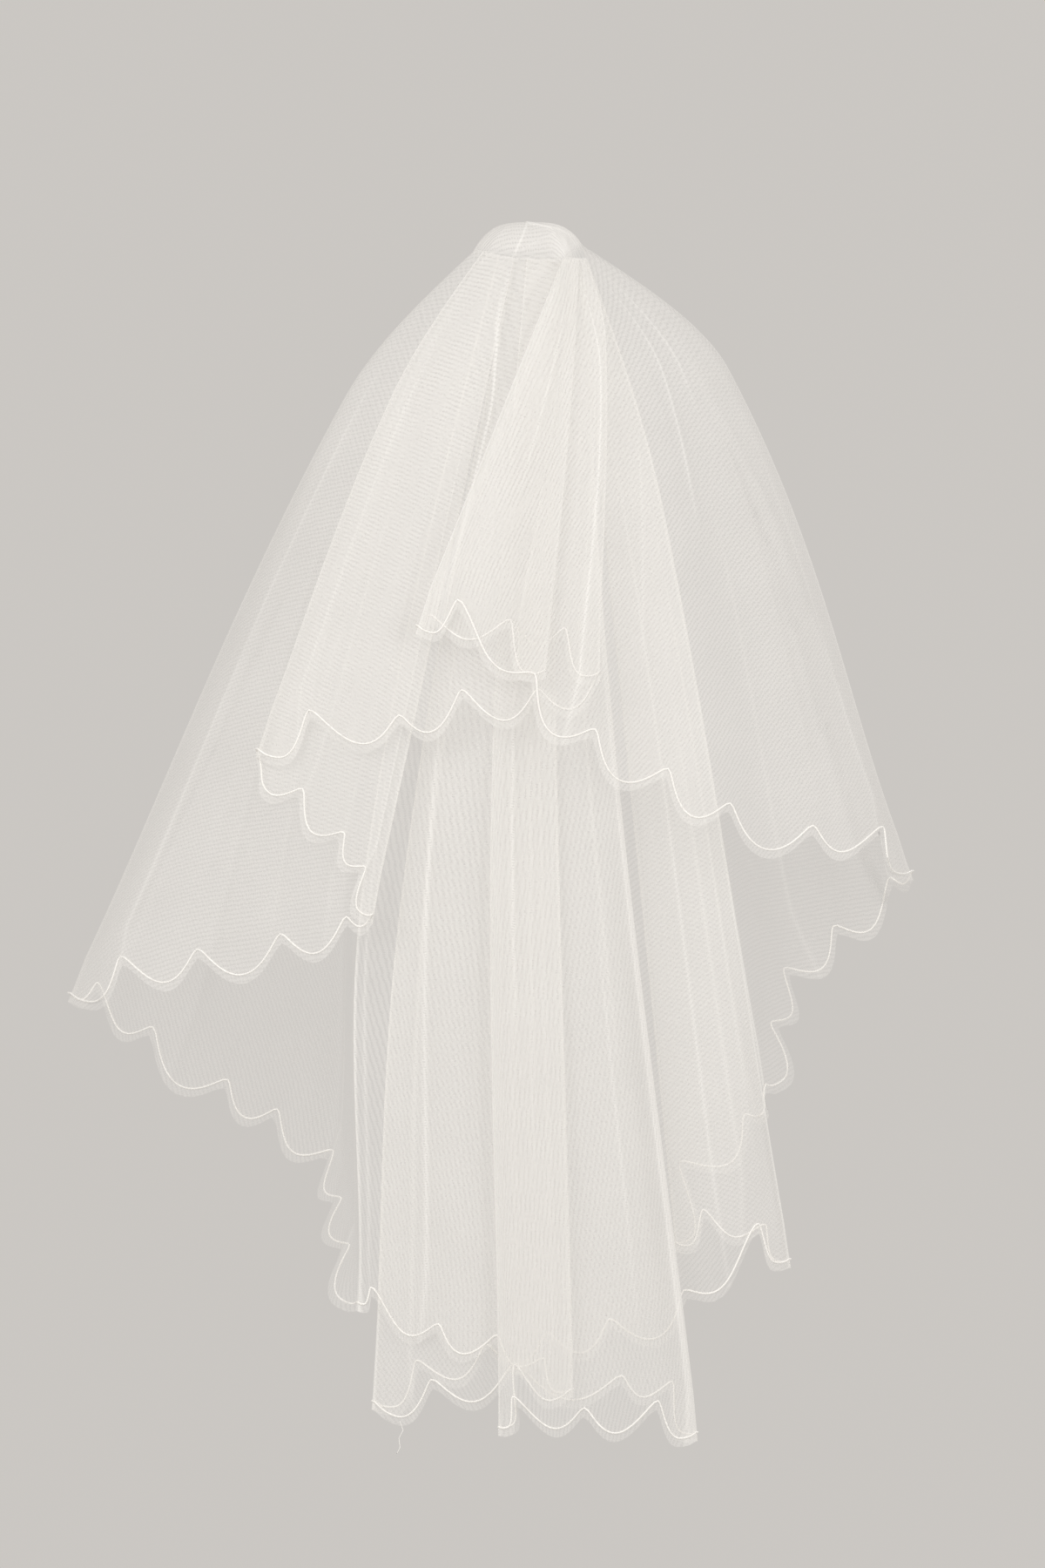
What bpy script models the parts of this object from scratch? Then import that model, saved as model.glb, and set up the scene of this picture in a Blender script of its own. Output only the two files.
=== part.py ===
"""A bridal drop veil: one oval of net with a scalloped hem, pleated at the crown and worn down the back.

The short side of the oval falls back over the long side. Both meet in the two wings, so the hem is
one closed line, and the net zigzags along it from fold to fold. Each stretch between two folds is
one wall here. Sizes in the tables are centimetres; the built meshes are in metres, with +Z up, the
wearer facing +Y and the origin under the top of the crown, where the head holds the veil.
"""

import math
from collections import namedtuple

import bmesh
import bpy
from mathutils import Vector

CM = 0.01

# The cloth
WALL = 0.1
SEAM = 0.05
SCALLOP_DEPTH = 3.2
SCALLOP_SHARE = 0.42
SCALLOP_ROUND = 0.75
EDGE_BELOW_CORD = 0.9

# The tables say where a place is seen, from this far behind the crown and at this height.
SIGHT = 340.0
SIGHT_ACROSS = -1.0
SIGHT_DROP = 55.4

# The wearer's back: how far behind the crown the cloth hangs at the middle
BACK_AT_CROWN = 1.4
BACK_REACH = 10.8
BACK_FALL = 14.0
BACK_START = 2.0
BACK_FLATNESS = 1.5

# Layers lie close at the crown and loosen on the way down.
LAYER_AT_CROWN = 0.2
LAYER_LOOSENING = 0.48
LAYER_FALL = 22.0

# On the side of the front, the wings stand this far in front of the crown, from below the shoulders.
WING_FRONT = 4.5
WING_OPENS_FROM = 14.0
WING_OPENS_TO = 44.0

# Soft waves run down through all layers.
WAVE_HEIGHT = 0.55
WAVES_TO_A_SIDE = 3.0
WAVE_START = 0.15
WAVE_GROWS_OVER = 60.0

# How each wall is divided
ROW_SHARES = (0.0, 0.012, 0.03, 0.055, 0.09, 0.135, 0.19, 0.26, 0.35, 0.46, 0.58, 0.71, 0.85, 1.0)
HEM_BAND = 3.6
COARSE_STEPS = 2
FINE_STEPS = 6
SHORT_CHORD = 4.0
WIDEST_BEND = 0.4
PLAIN_BEND = (1.0,)
WING_BEND = (0.1, 0.4, 1.0)
LEAST_WING_BEND = 0.8
CLOSEST_PLACES = 0.1
EVENED_ABOVE = 0.4
SLOPE_STEP = 0.004

# A fold line runs from its top to its end at the hem, and bows out to one side on the way.
Fold = namedtuple("Fold", "top_across top_drop end_across end_drop bow bow_at")
FOLDS = {
    "pleat_left": Fold(3.0, 3.45, -11.6, 39.7, 0.0, 0.3),
    "pleat_inner": Fold(4.6, 3.5, 1.3, 44.2, 0.4, 0.4),
    "pleat_second": Fold(3.7, 3.5, -1.6, 39.7, 0.9, 0.45),
    "pleat_right": Fold(5.3, 3.5, 6.7, 44.4, 1.7, 0.2),
    "left_fall": Fold(-4.9, 2.75, -27.4, 51.9, -2.5, 0.3),
    "left_tuck": Fold(-1.8, 3.5, -15.8, 68.3, 0.0, 0.3),
    "left_wing": Fold(-5.6, 2.6, -45.9, 76.0, -4.9, 0.2),
    "left_turn": Fold(-3.4, 3.2, -17.3, 106.6, -5.0, 0.6),
    "train_left": Fold(-1.8, 3.5, -15.9, 116.3, -3.3, 0.56),
    "panel_left": Fold(-0.6, 3.5, -3.4, 118.9, -2.2, 0.45),
    "panel_inner": Fold(2.8, 3.8, 4.0, 115.1, -1.0, 0.3),
    "panel_right": Fold(5.1, 3.6, 16.3, 119.4, -1.6, 0.4),
    "train_right": Fold(5.4, 3.6, 25.5, 102.3, 2.5, 0.25),
    "right_tuck": Fold(4.4, 3.6, 14.1, 100.7, 0.0, 0.3),
    "right_fall": Fold(5.1, 3.6, 23.0, 85.1, 2.2, 0.25),
    "right_wing": Fold(4.7, 2.1, 37.6, 64.0, 8.1, 0.2),
}

# A stretch runs from its first fold to its last. Its layer counts out from the back to the viewer.
# Its peaks are those of the corded line between scallops: across, drop, and the share of the way
# from the side of the back to the side of the front.
Stretch = namedtuple("Stretch", "layer first last first_front last_front peaks")
STRETCHES = {
    "upper_right": Stretch(14, "pleat_left", "right_wing", 0, 0, (
        (-7.4, 37.2, 0),
        (0.2, 44.5, 0),
        (6.2, 50.0, 0),
        (13.4, 53.9, 0),
        (19.5, 57.3, 0),
        (27.7, 59.5, 0),
        (34.6, 59.6, 0),
    )),
    "pleat_front": Stretch(13, "pleat_left", "pleat_inner", 0, 0, (
        (-10.3, 38.7, 0),
        (-2.2, 39.2, 0),
    )),
    "pleat_tuck": Stretch(12, "pleat_inner", "pleat_second", 0, 0, ()),
    "pleat_back": Stretch(11, "pleat_second", "pleat_right", 0, 0, (
        (3.2, 40.0, 0),
    )),
    "upper_left": Stretch(10.25, "pleat_right", "left_fall", 0, 0, (
        (0.5, 46.0, 0),
        (-7.0, 46.1, 0),
        (-13.2, 48.6, 0),
        (-22.1, 48.1, 0),
    )),
    "left_return": Stretch(8.9, "left_fall", "left_tuck", 0, 0, (
        (-22.7, 55.9, 0),
        (-18.6, 60.2, 0),
        (-16.5, 63.6, 0),
    )),
    "left_wing_near": Stretch(8, "left_tuck", "left_wing", 0, 0, (
        (-18.4, 68.5, 0),
        (-24.9, 70.2, 0),
        (-33.1, 71.7, 0),
        (-40.7, 72.4, 0),
    )),
    "panel": Stretch(7, "panel_left", "panel_right", 0, 0, (
        (-2.0, 115.9, 0),
        (5.1, 117.0, 0),
        (12.4, 116.3, 0),
    )),
    "panel_pleat": Stretch(6, "panel_inner", "panel_left", 0, 0, (
        (-1.8, 112.7, 0),
    )),
    "train_left": Stretch(5, "left_turn", "panel_inner", 0, 0, (
        (-16.0, 105.1, 0),
        (-9.3, 108.7, 0),
        (-3.5, 109.8, 0),
        (1.1, 112.1, 0),
    )),
    "left_wing_far": Stretch(4.5, "left_wing", "left_turn", 1, 0, (
        (-43.0, 75.0, 1),
        (-37.5, 79.4, 1),
        (-30.1, 84.6, 1),
        (-25.2, 87.5, 1),
        (-19.7, 91.6, 1),
        (-18.9, 96.3, 0.75),
        (-18.1, 100.9, 0.35),
    )),
    "panel_back": Stretch(4, "panel_right", "train_left", 0, 0, (
        (13.8, 114.4, 0),
        (8.8, 113.8, 0),
        (-1.8, 112.6, 0),
        (-10.0, 114.2, 0),
    )),
    "train_far": Stretch(3, "train_left", "train_right", 0, 0, (
        (-11.5, 112.3, 0),
        (-4.6, 110.7, 0),
        (1.4, 109.5, 0),
        (7.6, 108.2, 0),
        (14.9, 105.4, 0),
        (22.3, 98.8, 0),
    )),
    "right_return": Stretch(2, "train_right", "right_tuck", 0, 0, (
        (23.0, 98.9, 0),
        (16.8, 97.4, 0),
    )),
    "right_fall": Stretch(1, "right_tuck", "right_fall", 0, 0, (
        (14.5, 92.7, 0),
        (20.9, 88.0, 0),
    )),
    "right_wing_far": Stretch(0, "right_fall", "right_wing", 0, 1, (
        (23.5, 79.0, 0.35),
        (24.8, 73.6, 0.8),
        (29.7, 69.4, 1),
        (35.3, 64.6, 1),
    )),
}

# The crown's rim over the back, from left to right, and the layer that it meets there
Rim = namedtuple("Rim", "across drop layer")
CROWN_RIM = (
    Rim(-5.6, 2.45, 6.5),
    Rim(-5.1, 2.58, 8.5),
    Rim(-4.2, 2.65, 10.0),
    Rim(-2.6, 2.75, 10.0),
    Rim(-0.8, 2.9, 10.0),
    Rim(1.0, 3.05, 10.4),
    Rim(2.2, 3.2, 12.4),
    Rim(3.1, 3.2, 14.0),
    Rim(3.7, 2.75, 13.6),
    Rim(4.3, 2.27, 11.0),
    Rim(4.7, 1.95, 7.0),
)
CROWN_TOP = Vector((-0.2, -0.8, 0.0))
CROWN_FRONT = 3.6
CROWN_FRONT_STEPS = 8
CROWN_RINGS = (1.0, 0.94, 0.85, 0.7, 0.5, 0.25)
CROWN_SQUARENESS = 3.5

NET_COLOUR = (0.93, 0.90, 0.86, 1.0)
NET_ROUGHNESS = 0.85
NET_COVER = 0.45


def mix(a, b, share):
    return a + (b - a) * share


def smooth_step(value, low, high):
    share = min(max((value - low) / (high - low), 0.0), 1.0)
    return share * share * (3 - 2 * share)


def bow_shape(t, peak):
    """Nothing at both ends of a line and 1 at its peak."""
    if t <= peak:
        return math.sin(math.pi / 2 * max(t, 0.0) / peak)
    left = max(math.cos(math.pi / 2 * (min(t, 1.0) - peak) / (1 - peak)), 0.0)
    return left ** 1.4


def side_reach(drop, side):
    """How far out the veil spreads at a drop, on the side of the sign given."""
    wing = FOLDS["right_wing" if side > 0 else "left_wing"]
    t = min(max((drop - wing.top_drop) / (wing.end_drop - wing.top_drop), 0.0), 1.0)
    return abs(mix(wing.top_across, wing.end_across, t) + wing.bow * bow_shape(t, wing.bow_at))


def layer_spacing(drop):
    return LAYER_AT_CROWN + LAYER_LOOSENING * (1 - math.exp(-max(drop - BACK_START, 0) / LAYER_FALL))


def depth_at(across, drop, layer, front):
    """The depth of a layer, negative behind the crown, where the veil is seen at across and drop."""
    share = min(abs(across) / side_reach(drop, across), 1.0)
    back = BACK_AT_CROWN + BACK_REACH * (1 - math.exp(-max(drop - BACK_START, 0) / BACK_FALL))
    wave_phase = 2 * math.pi * (math.copysign(share, across) * WAVES_TO_A_SIDE + WAVE_START)
    wave = WAVE_HEIGHT * min(drop / WAVE_GROWS_OVER, 1.0) * math.sin(wave_phase)
    turn = math.pi / 2 * share ** BACK_FLATNESS
    slope = back * math.sin(turn) * math.pi / 2 * BACK_FLATNESS / side_reach(drop, across)
    near = -back * math.cos(turn) - layer_spacing(drop) * layer * math.hypot(1, slope) + wave
    opened = front * smooth_step(drop, WING_OPENS_FROM, WING_OPENS_TO)
    return mix(near, WING_FRONT + wave, opened)


def placed(across, drop, depth):
    """The point in metres for a place as it is seen: nearer cloth is drawn in to look as wide."""
    pull = (SIGHT + depth) / SIGHT
    x = SIGHT_ACROSS + (across - SIGHT_ACROSS) * pull
    z = -(SIGHT_DROP + (drop - SIGHT_DROP) * pull)
    return Vector((x, depth, z)) * CM


def stations_of(stretch):
    """The fold ends and the peaks between them, in order along the hem."""
    first, last = FOLDS[stretch.first], FOLDS[stretch.last]
    return (
        (first.end_across, first.end_drop, stretch.first_front),
        *stretch.peaks,
        (last.end_across, last.end_drop, stretch.last_front),
    )


def fold_sides():
    """For each fold, the layer and front share of the two stretches that meet in it."""
    sides = {name: [] for name in FOLDS}
    for stretch in STRETCHES.values():
        sides[stretch.first].append((stretch.layer, stretch.first_front))
        sides[stretch.last].append((stretch.layer, stretch.last_front))
    return sides


FOLD_SIDES = fold_sides()


class Sheet:
    """One stretch as a surface: place runs along its hem from fold to fold, t from crown to hem."""

    def __init__(self, stretch):
        self.stretch = stretch
        self.stations = stations_of(stretch)
        self.last = len(self.stations) - 1
        self.chords = [math.dist(a[:2], b[:2]) for a, b in zip(self.stations, self.stations[1:])]
        self.shares = [sum(self.chords[:i]) / sum(self.chords) for i in range(self.last + 1)]
        self.ways = self.ways_at_stations()
        self.hem_ways = self.hem_ways_at_stations()

    def ways_at_stations(self):
        """The direction of the smooth line through the stations at each of them."""
        slopes = [
            [(q - p) / chord for p, q in zip(a, b)]
            for a, b, chord in zip(self.stations, self.stations[1:], self.chords)
        ]
        ways = [slopes[0]]
        for i in range(1, self.last):
            before, after = self.chords[i - 1], self.chords[i]
            share = before / (before + after)
            ways.append([mix(p, q, share) for p, q in zip(slopes[i - 1], slopes[i])])
        return [*ways, slopes[-1]]

    def hem_ways_at_stations(self):
        """Which way the scallops leave the corded line at each station: away from it, and down."""
        ways = [Vector((0, 1)) for _ in self.stations]
        for i, (a, b) in enumerate(zip(self.stations, self.stations[1:])):
            away = Vector((a[1] - b[1], b[0] - a[0])).normalized()
            if away.y < 0:
                away.negate()
            ways[i] += away
            ways[i + 1] += away
        return [way.normalized() for way in ways]

    def station(self, place):
        """Across, drop and front share on the smooth line through the stations."""
        i = min(int(place), self.last - 1)
        f = place - i
        a, b = self.stations[i], self.stations[i + 1]
        chord = self.chords[i]
        found = [
            (1 + 2 * f) * (1 - f) ** 2 * a[k]
            + f * (1 - f) ** 2 * chord * self.ways[i][k]
            + f * f * (3 - 2 * f) * b[k]
            - f * f * (1 - f) * chord * self.ways[i + 1][k]
            for k in range(3)
        ]
        return found[0], found[1], min(max(found[2], 0.0), 1.0)

    def share(self, place):
        i = min(int(place), self.last - 1)
        return mix(self.shares[i], self.shares[i + 1], place - i)

    def place_at(self, share):
        """The place that lies this share of the way along the hem."""
        i = max(k for k in range(self.last) if self.shares[k] <= share)
        return i + min((share - self.shares[i]) / (self.shares[i + 1] - self.shares[i]), 1.0)

    def seen(self, place, t):
        """Where the line of this place is seen at t: across and drop."""
        first, last = FOLDS[self.stretch.first], FOLDS[self.stretch.last]
        share = self.share(place)
        across, drop, _ = self.station(place)
        bow = mix(first.bow, last.bow, share) * bow_shape(t, mix(first.bow_at, last.bow_at, share))
        top_across = mix(first.top_across, last.top_across, share)
        top_drop = mix(first.top_drop, last.top_drop, share)
        return mix(top_across, across, t) + bow, mix(top_drop, drop, t)

    def bend(self, end, t):
        """How far in depth the cloth goes from its layer to a fold, and the width it takes for that."""
        name, front = (
            (self.stretch.first, self.stretch.first_front)
            if end == 0
            else (self.stretch.last, self.stretch.last_front)
        )
        fold = self.seen(end, t)
        depths = [depth_at(*fold, *side) for side in FOLD_SIDES[name]]
        whole = sum(depths) / 2 - depth_at(*fold, self.stretch.layer, front)
        return whole, min(abs(whole), WIDEST_BEND * math.dist(self.seen(0, t), self.seen(self.last, t)))

    def turned(self, t, across, drop):
        """How far the cloth leaves its own layer near a fold, in depth."""
        offset = 0.0
        for end in (0, self.last):
            whole, radius = self.bend(end, t)
            away = math.dist((across, drop), self.seen(end, t)) / radius
            if away < 1:
                bent = 1 - math.sqrt(1 - (1 - away) ** 2) if self.is_wing(end) else 1 - away
                offset += math.copysign(abs(whole) - SEAM / 2, whole) * bent
        return offset

    def is_wing(self, end):
        """The folds at the tips of the wings are wide and round, and the others plain."""
        return (self.stretch.first if end == 0 else self.stretch.last).endswith("wing")

    def point(self, place, t, across=None, drop=None):
        if across is None:
            across, drop = self.seen(place, t)
        front = self.station(place)[2]
        depth = depth_at(across, drop, self.stretch.layer, front)
        return placed(across, drop, depth + self.turned(t, across, drop))

    def hem_point(self, place, below):
        """A point of the scalloped hem, this far below the corded line."""
        i = min(int(place), self.last - 1)
        across, drop, _ = self.station(place)
        way = self.hem_ways[i].lerp(self.hem_ways[i + 1], place - i).normalized()
        deepest = min(SCALLOP_DEPTH, SCALLOP_SHARE * self.chords[i])
        reach = deepest * max(math.sin(math.pi * (place - i)), 0.0) ** SCALLOP_ROUND + below
        return self.point(place, 1.0, across + way.x * reach, drop + way.y * reach)

    def normal(self, place, t):
        step = SLOPE_STEP
        along = self.point(min(place + step, self.last), t) - self.point(max(place - step, 0), t)
        down = self.point(place, min(t + step, 1)) - self.point(place, max(t - step, 0))
        if place in (0, self.last):
            flat = Vector((0, 1, 0))
            along = flat if along.dot(flat) > 0 else -flat
        return along.cross(down).normalized()

    def bend_shares(self, end, t):
        """The shares along the hem of the columns that make the bend to a fold at t, in order."""
        step = SLOPE_STEP if end == 0 else 1 - SLOPE_STEP
        rate = math.dist(self.seen(end, t), self.seen(self.place_at(step), t)) / SLOPE_STEP
        radius = self.bend(end, t)[1]
        if self.is_wing(end):
            radius = max(radius, LEAST_WING_BEND)
        columns = WING_BEND if self.is_wing(end) else PLAIN_BEND
        shares = [min(column * radius / rate, column * WIDEST_BEND) for column in columns]
        return shares if end == 0 else [1 - share for share in reversed(shares)]


def places_of(sheet):
    """The places of a stretch's columns at the hem: those that run up to the crown, and all of them."""
    first, last = sheet.bend_shares(0, 1.0), sheet.bend_shares(sheet.last, 1.0)
    low, high = sheet.place_at(first[-1]), sheet.place_at(last[0])
    coarse, fine = set(), set()
    for i, chord in enumerate(sheet.chords):
        steps = COARSE_STEPS if chord > SHORT_CHORD else 1
        coarse |= {i + k / steps for k in range(steps)}
        fine |= {i + k / FINE_STEPS for k in range(FINE_STEPS)} if chord > SHORT_CHORD else {i + 0.5}
    ends = [0.0, *(sheet.place_at(share) for share in first)]
    ends += [*(sheet.place_at(share) for share in last), float(sheet.last)]
    coarse = {p for p in coarse if low + CLOSEST_PLACES < p < high - CLOSEST_PLACES} | set(ends)
    fine = {p for p in fine if low + CLOSEST_PLACES < p < high - CLOSEST_PLACES}
    return sorted(coarse), sorted(coarse | fine)


def places_on_row(sheet, coarse, share):
    """Where the columns cross a row: set at folds, and evenly spread in between near the crown."""
    first, last = sheet.bend_shares(0, share), sheet.bend_shares(sheet.last, share)
    middle = coarse[len(first):-len(last)]
    hem = [sheet.share(place) for place in middle]
    between = []
    for i, at_hem in enumerate(hem):
        along_hem = (at_hem - hem[0]) / (hem[-1] - hem[0])
        along = mix(i / (len(hem) - 1), along_hem, smooth_step(share, 0.0, EVENED_ABOVE))
        between.append(mix(first[-1], last[0], along))
    shares = [0.0, *first[:-1], *between, *last[1:], 1.0]
    return [sheet.place_at(along) for along in shares]


def row_t(sheet, place, share):
    """Where a row crosses the line of a place. Rows end just above the scallops of the hem."""
    top, bottom = sheet.seen(place, 0)[1], sheet.seen(place, 1)[1]
    return share * (1 - HEM_BAND / (bottom - top))


def halves(face, points):
    """A face as triangles, cut along its shorter diagonal, so that both sides of a wall bend alike."""
    if len(face) == 3:
        return [face]
    a, b, c, d = face
    if (points[a] - points[c]).length < (points[b] - points[d]).length:
        return [[a, b, c], [a, c, d]]
    return [[a, b, d], [b, c, d]]


def wall_object(name, points, normals, faces):
    """A closed wall on both sides of a surface."""
    half = WALL * CM / 2
    faces = [piece for face in faces for piece in halves(face, points)]
    bm = bmesh.new()
    sides = [
        [bm.verts.new(p + n * offset) for p, n in zip(points, normals)] for offset in (half, -half)
    ]
    uses = {}
    for face in faces:
        bm.faces.new([sides[0][i] for i in face])
        bm.faces.new([sides[1][i] for i in reversed(face)])
        for a, b in zip(face, face[1:] + face[:1]):
            uses[(a, b)] = True
    for a, b in uses:
        if (b, a) not in uses:
            bm.faces.new((sides[0][b], sides[0][a], sides[1][a], sides[1][b]))
    mesh = bpy.data.meshes.new(name)
    bm.to_mesh(mesh)
    bm.free()
    mesh.shade_smooth()
    obj = bpy.data.objects.new(name, mesh)
    mesh.materials.append(net_material(name))
    bpy.context.scene.collection.objects.link(obj)
    return obj


def net_material(name):
    material = bpy.data.materials.new(name + "_net")
    material.use_nodes = True
    shader = material.node_tree.nodes["Principled BSDF"]
    shader.inputs["Base Color"].default_value = NET_COLOUR
    shader.inputs["Roughness"].default_value = NET_ROUGHNESS
    shader.inputs["Metallic"].default_value = 0.0
    shader.inputs["Alpha"].default_value = NET_COVER
    return material


def make_stretch(name, stretch):
    sheet = Sheet(stretch)
    coarse, fine = places_of(sheet)
    points, normals, faces = [], [], []
    for share in ROW_SHARES:
        for place in places_on_row(sheet, coarse, share):
            t = row_t(sheet, place, share)
            points.append(sheet.point(place, t))
            normals.append(sheet.normal(place, t))
    hem_start = len(points)
    for place in fine:
        points.append(sheet.hem_point(place, EDGE_BELOW_CORD))
        normals.append(sheet.normal(place, 1.0))
    width = len(coarse)
    for j in range(len(ROW_SHARES) - 1):
        for i in range(width - 1):
            a = j * width + i
            faces.append([a, a + 1, a + width + 1, a + width])
    band = (len(ROW_SHARES) - 1) * width
    for i in range(width - 1):
        start, stop = fine.index(coarse[i]), fine.index(coarse[i + 1])
        middle = (start + stop + 1) // 2
        for k in range(start, stop):
            corner = band + i if k < middle else band + i + 1
            faces.append([corner, hem_start + k + 1, hem_start + k])
        faces.append([band + i, band + i + 1, hem_start + middle])
    return wall_object(name, points, normals, faces)


def crown_rim():
    """The rim of the crown as places and depths: over the back, then round by the front."""
    rim = [Vector((p.across, depth_at(p.across, p.drop, p.layer, 0), p.drop)) for p in CROWN_RIM]
    left, right = rim[0], rim[-1]
    for k in range(1, CROWN_FRONT_STEPS):
        turn = k / CROWN_FRONT_STEPS
        across = mix(right.x, left.x, 0.5 - 0.5 * math.cos(math.pi * turn))
        depth = mix(right.y, left.y, turn) + CROWN_FRONT * math.sin(math.pi * turn)
        rim.append(Vector((across, depth, mix(right.z, left.z, turn))))
    return rim


def make_crown():
    """The net over the top of the head, as a low dome from its rim to its top."""
    rim = crown_rim()
    count = len(rim)

    def dome_point(corner, size):
        across = mix(CROWN_TOP.x, corner.x, size)
        depth = mix(CROWN_TOP.y, corner.y, size)
        return placed(across, mix(CROWN_TOP.z, corner.z, size ** CROWN_SQUARENESS), depth)

    points = [dome_point(corner, size) for size in CROWN_RINGS for corner in rim]
    points.append(placed(CROWN_TOP.x, CROWN_TOP.z, CROWN_TOP.y))
    faces = []
    for j in range(len(CROWN_RINGS) - 1):
        for i in range(count):
            a, b = j * count + i, j * count + (i + 1) % count
            faces.append([a, b, b + count, a + count])
    inner = (len(CROWN_RINGS) - 1) * count
    for i in range(count):
        faces.append([inner + i, inner + (i + 1) % count, len(points) - 1])
    mesh = bpy.data.meshes.new("dome")
    mesh.from_pydata(points, [], faces)
    normals = [vertex.normal.copy() for vertex in mesh.vertices]
    bpy.data.meshes.remove(mesh)
    return wall_object("crown", points, normals, faces)


def main():
    for obj in list(bpy.data.objects):
        bpy.data.objects.remove(obj)
    make_crown()
    for name, stretch in STRETCHES.items():
        make_stretch(name, stretch)


main()
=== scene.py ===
"""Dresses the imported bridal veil: a soft net with a corded, scalloped edge, on a plain pale stage.

The falling net is one closed ring of columns. Each column runs from the crown down to the hem, and
the ring zigzags through the stretches of the frame's solids, from fold to fold. A cap of net lies
over their tops. Sizes in the tables are centimetres, as in the part's source, and meshes are in
metres.
"""

import math
from collections import namedtuple

import bpy
import numpy as np
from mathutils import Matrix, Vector, noise


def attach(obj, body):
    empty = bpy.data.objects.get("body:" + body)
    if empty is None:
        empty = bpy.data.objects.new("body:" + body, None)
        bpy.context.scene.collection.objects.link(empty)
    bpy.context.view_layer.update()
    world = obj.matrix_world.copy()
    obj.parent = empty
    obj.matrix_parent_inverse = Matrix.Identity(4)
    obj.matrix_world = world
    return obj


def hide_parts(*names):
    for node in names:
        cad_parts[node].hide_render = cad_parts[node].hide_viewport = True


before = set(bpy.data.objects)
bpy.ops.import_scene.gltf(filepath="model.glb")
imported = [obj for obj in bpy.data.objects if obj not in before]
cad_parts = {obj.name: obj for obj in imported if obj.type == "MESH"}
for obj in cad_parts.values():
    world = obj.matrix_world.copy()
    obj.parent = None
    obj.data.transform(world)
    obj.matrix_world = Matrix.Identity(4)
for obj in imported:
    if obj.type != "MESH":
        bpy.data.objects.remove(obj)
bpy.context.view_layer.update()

CM = 0.01

# The cloth, with the same sizes as the solids, and the whole cut in metres
SCALLOP_DEPTH = 3.2
SCALLOP_SHARE = 0.42
SCALLOP_ROUND = 0.75
PEAK_ROUNDING = 0.2
EDGE_BELOW_CORD = 0.9

# The tables say where a place is seen, from this far behind the crown and at this height.
SIGHT = 340.0
SIGHT_ACROSS = -1.0
SIGHT_DROP = 55.4
FRAME_HEIGHT = 154.8
SENSOR = 36.0

# The drape, as in the solids
BACK_AT_CROWN = 1.4
BACK_REACH = 10.8
BACK_FALL = 14.0
BACK_START = 2.0
BACK_FLATNESS = 1.5
LAYER_AT_CROWN = 0.2
LAYER_LOOSENING = 0.48
LAYER_FALL = 22.0
WING_FRONT = 4.5
WING_OPENS_FROM = 14.0
WING_OPENS_TO = 44.0
WAVE_HEIGHT = 0.55
WAVES_TO_A_SIDE = 3.0
WAVE_START = 0.15
WAVE_GROWS_OVER = 60.0
WIDEST_ROUNDING = 0.48
ROUNDING_REACH = 3.5
BOW_SHARPNESS = 1.4
STRAIGHT_BESIDE_FOLD = 0.35

# How finely the net is divided, and how far its columns are spread evenly near the crown
ROWS = 90
ROW_CROWDING = 1.2
BAND_ROWS = 5
HEM_BAND = 3.6
STEPS_TO_A_SCALLOP = 11
CORD_STEPS = 20
ROUNDING_SHARES = (0.12, 0.35, 0.65, 1.0)
RIDGE_SHARES = (-1.6, -0.8, -0.35, 0.0, 0.35, 0.8, 1.6)
RIDGE_END = 2.5
RIDGE_FADE = 0.2
CLOSEST_COLUMNS = 0.12
CLOSEST_STEPS = 0.45
EVENED_ABOVE = 0.4
EVENED = 0.5

# Small uneven waves: how often they come, where their noise is read, and how high they are
CRINKLES = ((0.11, 3.7, 0.16), (0.35, 9.1, 0.05))
CRINKLES_GROW_OVER = 30.0
CALM_BESIDE_FOLD = 1.5

# The net: how far a pinch shows, how plainly a wing's fold does, the share of a layer that is
# thread, the cell of its mesh in metres, how far the cells wander, how far a thread reaches into a
# cell, how much it and the gap cover, how uneven that is, and how much a dense place adds
PINCHED = 0.24
WING_LINE = 0.3
THREAD_COVER = 0.17
CELL = 0.0025
WANDER = 0.003
WANDER_SCALE = 160.0
THREAD_REACH = 0.2
AT_THREAD = 1.75
IN_GAP = 0.7
CLOUDINESS = 0.08
DENSE_COVER = 0.7
NET_COLOURS = ((0.86, 0.85, 0.83, 1), (0.915, 0.905, 0.89, 1))

# The corded line, how far it stands out as a share of its radius, and the thread that hangs loose
CORD_RADIUS = 0.09
CORD_SIDES = 6
CORD_RAISED = 0.6
LOOSE_THREAD = ((-13.1, 118.3), (-12.8, 119.2), (-13.2, 120.0), (-13.1, 120.9), (-13.5, 121.7))
THREAD_STEPS = 4
THREAD_SIDES = 5
THREAD_THINNER = 0.4
CORD_COLOURS = ((0.93, 0.91, 0.88, 1), (0.99, 0.98, 0.96, 1))
TWIST_SCALE = 260.0
TWIST_HEIGHT = 0.0002

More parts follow.
